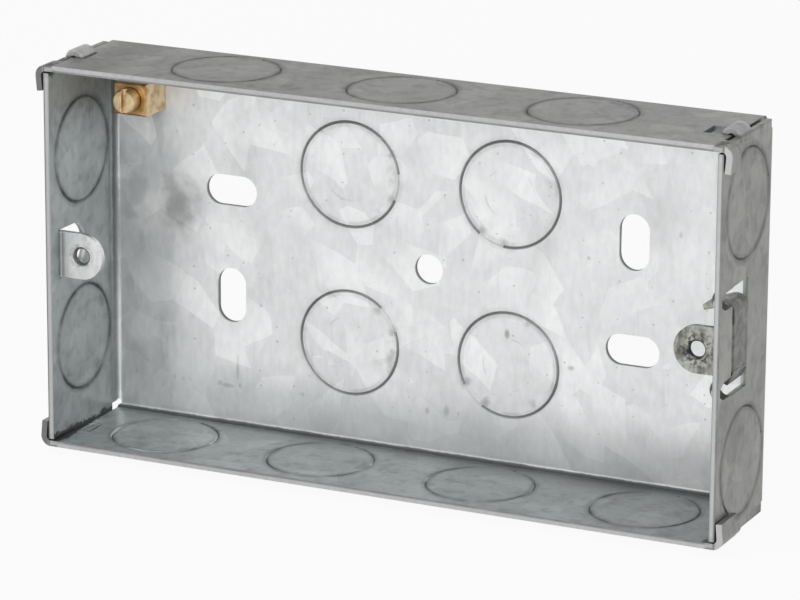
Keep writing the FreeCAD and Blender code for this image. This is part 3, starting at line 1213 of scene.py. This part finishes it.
@dataclass(frozen=True)
class PlatedSteel:
    """Dull yellowish plating of the sliding lug, darker round its hole, with painted shade on its
    strip in the wall's window.
    """

    pale: Colour = (0.40, 0.41, 0.37)
    dark: Colour = (0.12, 0.123, 0.108)
    # Painted shade on the strip in the wall's window, toned like the wall.
    outer_shade: Colour = (0.27, 0.275, 0.265)
    dark_tone: Colour = (0.03, 0.028, 0.025)
    hole_x: float = 60.3
    hole_z: float = -1.4
    hole_radius: float = 1.45
    wall_x: float = 64.6
    outer_blur: float = 0.6
    mottle: Grain = Grain(1.6, 5.0)
    mottle_share: float = 0.7
    streak: Grain = Grain(0.8, 3.0, (1.0, 1.0, 0.15))
    streak_share: float = 0.4
    worn_range: Span = (0.38, 0.72)
    pits: Grain = Grain(0.7)
    ring_band: Span = (3.3, 0.2)
    ring_pits: Span = (0.46, 0.60)
    ring_strength: float = 0.92
    hole_band: Span = (0.25, 0.05)
    metallic: float = 0.7
    roughness: Span = (0.36, 0.2)
    pit_height: float = 0.5
    relief: Span = (0.4, 0.06)

    def material(self) -> bpy.types.Material:
        """Builds the plating's nodes.

        Returns:
            The plating's material.
        """
        graph = Graph.of_material("plated_steel")
        at = graph.place()
        mottle, streak, pits = (
            graph.noise(at.spot, grain) for grain in (self.mottle, self.streak, self.pits)
        )
        worn = (mottle * self.mottle_share + streak * self.streak_share).rise(*self.worn_range)
        # Painted shade on the strip in the wall's window, toned like the wall.
        outside = at.x.rise(self.wall_x - self.outer_blur, self.wall_x)
        colour = graph.blend(worn, self.dark, graph.blend(outside, self.pale, self.outer_shade))
        from_hole = (at.x - self.hole_x).hypotenuse(at.z - self.hole_z) - self.hole_radius
        ring = from_hole.rise(*self.ring_band) * pits.rise(*self.ring_pits) * self.ring_strength
        inside = from_hole.rise(*self.hole_band)
        colour = graph.blend(ring.most(inside), colour, self.dark_tone)
        normal = graph.bump(mottle + pits * self.pit_height, self.relief)
        return graph.surface(colour, self.metallic, mottle.graded(self.roughness), normal)


@dataclass(frozen=True)
class Brass:
    """Brass with tool marks, a little tarnish, painted shade on the block's front face and a
    painted shadow of the screw round its base.
    """

    working: Working
    pale: Colour = (0.80, 0.635, 0.38)
    tarnish_and_shade: Colour = (0.36, 0.19, 0.06)
    thread_pitch: float = 0.7
    thread_height: float = 0.5
    saw_pitch: float = 0.35
    saw_height: float = 0.06
    saw_waver: Grain = Grain(1.5)
    saw_waver_reach: float = 4.0
    middle_height: float = 0.5
    axis_x: float = -57.0
    axis_z: float = 27.0
    # Painted shade on the block's front face and painted shadow of the screw round its base.
    face_y: float = -8.5
    face_band: Span = (0.4, 0.2)
    front_shade_strength: float = 0.5
    screw_radius: float = 2.25
    screw_edge: Span = (-0.1, 0.1)
    screw_shadow_band: Span = (2.0, 0.4)
    screw_shadow_strength: float = 0.9
    stain: Grain = Grain(1.8, 5.0)
    stain_range: Span = (0.40, 0.68)
    stain_strength: float = 0.6
    stain_height: float = 0.15
    groove_range: Span = (0.6, 0.0)
    groove_strength: float = 0.25
    metallic: float = 0.85
    roughness: Span = (0.28, 0.2)
    relief: Span = (0.5, 0.08)

    def tool_marks(self, graph: Graph, at: Place) -> Value:
        """Relief that the tool left: thread ridges round the screw, saw lines across the block.

        Args:
            graph: the material's graph.
            at: coordinates.

        Returns:
            A height from 0 to 1.
        """
        if self.working is Working.TURNED:
            ridge = (at.y * (FULL_TURN / self.thread_pitch)).wave()
            return ridge * self.thread_height + self.middle_height
        waver = graph.noise(at.spot, self.saw_waver) * self.saw_waver_reach
        line = (at.z * (FULL_TURN / self.saw_pitch) + waver).wave()
        return line * self.saw_height + self.middle_height

    def material(self) -> bpy.types.Material:
        """Builds the brass's nodes.

        Returns:
            The brass's material.
        """
        graph = Graph.of_material(f"brass_{self.working.value}")
        at = graph.place()
        marks = self.tool_marks(graph, at)
        stain = graph.noise(at.spot, self.stain)
        from_screw = (at.x - self.axis_x).hypotenuse(at.z - self.axis_z) - self.screw_radius
        # Painted shade on the block's front face and painted shadow of the screw round its base.
        face = abs(at.y - self.face_y).rise(*self.face_band) * from_screw.rise(*self.screw_edge)
        screw_shadow = from_screw.rise(*self.screw_shadow_band) * face * self.screw_shadow_strength
        dark = stain.rise(*self.stain_range) * self.stain_strength
        dark = dark + marks.rise(*self.groove_range) * self.groove_strength
        dark = dark + face * self.front_shade_strength
        colour = graph.blend(dark.most(screw_shadow), self.pale, self.tarnish_and_shade)
        normal = graph.bump(marks + stain * self.stain_height, self.relief)
        return graph.surface(colour, self.metallic, stain.graded(self.roughness), normal)


@dataclass
class Piece:
    """One solid of the frame, dressed as a copy whose sharp edges are slightly rounded."""

    node: str
    name: str
    body: Body
    slot: Slot
    edge_round: float
    sharp_angle: float = math.radians(60)
    flat_angle: float = math.radians(0.5)
    least_edge: float = 3.0 * MM
    crease_angle: float = math.radians(35)
    weld: float = 1e-6
    round_segments: int = 2

    def build(self, material: bpy.types.Material) -> None:
        """Makes the piece and puts it in the node's place.

        Args:
            material: its finish.
        """
        mesh = bpy.data.meshes.new(self.name)
        shape = bmesh.new()
        shape.from_mesh(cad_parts[self.node].data)
        bmesh.ops.remove_doubles(shape, verts=shape.verts, dist=self.weld)
        bmesh.ops.dissolve_limit(
            shape,
            angle_limit=self.flat_angle,
            verts=shape.verts,
            edges=shape.edges,
            use_dissolve_boundaries=False,
        )
        long_edges = [edge for edge in shape.edges if edge.calc_length() > self.least_edge]
        bmesh.ops.bevel(
            shape,
            geom=[edge for edge in long_edges if edge.calc_face_angle(0.0) > self.sharp_angle],
            offset=self.edge_round,
            offset_type="OFFSET",
            affect="EDGES",
            segments=self.round_segments,
            profile=0.5,
            clamp_overlap=False,
            material=-1,
        )
        for face in shape.faces:
            face.smooth = True
            face.material_index = 0
        for edge in shape.edges:
            edge.smooth = edge.calc_face_angle(0.0) < self.crease_angle
        shape.to_mesh(mesh)
        shape.free()
        mesh.materials.clear()
        mesh.materials.append(material)
        piece = bpy.data.objects.new(self.name, mesh)
        bpy.context.scene.collection.objects.link(piece)
        weighted = piece.modifiers.new("even_shading", "WEIGHTED_NORMAL")
        weighted.keep_sharp = True
        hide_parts(self.node)
        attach(piece, self.body.value)
        log.info("%s: %d faces on body %s", self.name, len(mesh.polygons), self.body.value)


@dataclass
class FoldedBox:
    """The sheet box."""

    edge_round: float = 0.10 * MM

    def build(self) -> None:
        """Makes and dresses the box."""
        shell = Piece("box_shell", "folded_box", Body.BOX, Slot.SHEET, self.edge_round)
        shell.build(GalvanisedSheet().material())


@dataclass
class SlidingLug:
    """The adjustable faceplate lug."""

    edge_round: float = 0.12 * MM

    def build(self) -> None:
        """Makes and dresses the lug."""
        lug = Piece("adjustable_lug", "sliding_lug", Body.LUG, Slot.LUG, self.edge_round)
        lug.build(PlatedSteel().material())


@dataclass
class EarthTerminal:
    """The brass block and its screw."""

    block_round: float = 0.10 * MM
    screw_round: float = 0.08 * MM

    def build(self) -> None:
        """Makes and dresses the terminal."""
        block = Piece(
            "earth_terminal_block", "terminal_block", Body.BOX, Slot.BLOCK, self.block_round
        )
        block.build(Brass(Working.SAWN).material())
        screw = Piece(
            "earth_terminal_screw",
            "terminal_screw_brass",
            Body.SCREW,
            Slot.SCREW,
            self.screw_round,
        )
        screw.build(Brass(Working.TURNED).material())


@dataclass(frozen=True)
class Softbox:
    """One soft square lamp: its name, its place and side in metres, and its power in watts."""

    name: str
    place: Point
    size: float
    watts: float


@dataclass
class Studio:
    """Floor, lamps, background and camera."""

    floor_size: float = 6.0
    floor_colour: Colour = (0.9, 0.9, 0.9)
    floor_white: float = 0.93
    ambient: float = 0.32
    lamps: Tuple[Softbox, ...] = (
        Softbox("key", (0.30, -1.45, 0.20), 0.9, 15.0),
        Softbox("fill", (-0.9, -0.9, 0.6), 0.8, 2.5),
    )
    aim: Point = (-0.0043, -0.0041, -0.0055)
    azimuth: float = math.radians(25.206)
    elevation: float = math.radians(16.293)
    roll: float = math.radians(0.332)
    distance: float = 0.855
    focal_px: float = 4727.9

    def build(self) -> None:
        """Sets up the whole studio."""
        self.floor()
        self.background()
        for softbox in self.lamps:
            self.light(softbox)
        self.camera()
        bpy.context.scene.view_settings.view_transform = "Standard"

    def seen_white(self, graph: Graph) -> Value:
        """1 for rays that see the background, straight or in metal, and 0 for light's rays."""
        rays = ("Is Camera Ray", "Is Glossy Ray", "Is Transmission Ray")
        return greatest(*(graph.node("ShaderNodeLightPath", output=ray) for ray in rays))

    def floor(self) -> None:
        """Makes a pale floor under the box's lowest point."""
        shape = bmesh.new()
        bmesh.ops.create_grid(shape, x_segments=1, y_segments=1, size=self.floor_size / 2)
        bmesh.ops.translate(shape, verts=shape.verts, vec=(0.0, 0.0, CAD_BOX[0].z))
        mesh = bpy.data.meshes.new("studio_floor")
        shape.to_mesh(mesh)
        shape.free()
        graph = Graph.of_material("pale_floor")
        paint = graph.node("ShaderNodeBsdfDiffuse", inputs={"Color": (*self.floor_colour, 1.0)})
        white = graph.node("ShaderNodeEmission", inputs={"Strength": 1.0})
        share = self.seen_white(graph) * self.floor_white
        graph.end(graph.node("ShaderNodeMixShader", inputs={0: share, 1: paint, 2: white}))
        mesh.materials.append(graph.owner)
        floor = bpy.data.objects.new("studio_floor", mesh)
        bpy.context.scene.collection.objects.link(floor)

    def background(self) -> None:
        """Makes a white background that gives a lower level of light from all round."""
        world = bpy.data.worlds.new("studio")
        bpy.context.scene.world = world
        graph = Graph(world)
        level = self.seen_white(graph).graded((self.ambient, 1 - self.ambient))
        inputs = {"Color": (1.0, 1.0, 1.0, 1.0), "Strength": level}
        graph.end(graph.node("ShaderNodeBackground", inputs=inputs))

    def light(self, softbox: Softbox) -> None:
        """Adds one lamp that points at the box.

        Args:
            softbox: the lamp.
        """
        lamp = bpy.data.lights.new(softbox.name, "AREA")
        lamp.size = softbox.size
        lamp.energy = softbox.watts
        stand = bpy.data.objects.new(softbox.name, lamp)
        stand.location = softbox.place
        stand.rotation_mode = "QUATERNION"
        towards = Vector(self.aim) - Vector(softbox.place)
        stand.rotation_quaternion = towards.to_track_quat("-Z", "Y")
        bpy.context.scene.collection.objects.link(stand)

    def camera(self) -> None:
        """Adds the camera at the photograph's viewing angle."""
        lens = bpy.data.cameras.new("camera")
        lens.sensor_width = SENSOR_MM
        lens.lens = self.focal_px / IMAGE_WIDTH_PX * SENSOR_MM
        camera = bpy.data.objects.new("camera", lens)
        level = math.cos(self.elevation)
        right, near = math.sin(self.azimuth) * level, -math.cos(self.azimuth) * level
        back = Vector((right, near, math.sin(self.elevation)))
        camera.location = Vector(self.aim) + back * self.distance
        camera.rotation_mode = "QUATERNION"
        turn = Quaternion((0.0, 0.0, 1.0), self.roll)
        camera.rotation_quaternion = (-back).to_track_quat("-Z", "Y") @ turn
        bpy.context.scene.collection.objects.link(camera)
        bpy.context.scene.camera = camera


def main() -> None:
    """Builds the pieces in order, then the studio."""
    logging.basicConfig(level=logging.INFO)
    for assembly in (FoldedBox(), SlidingLug(), EarthTerminal(), Studio()):
        assembly.build()
        log.info("%s is built", type(assembly).__name__)


if __name__ == "__main__":
    main()
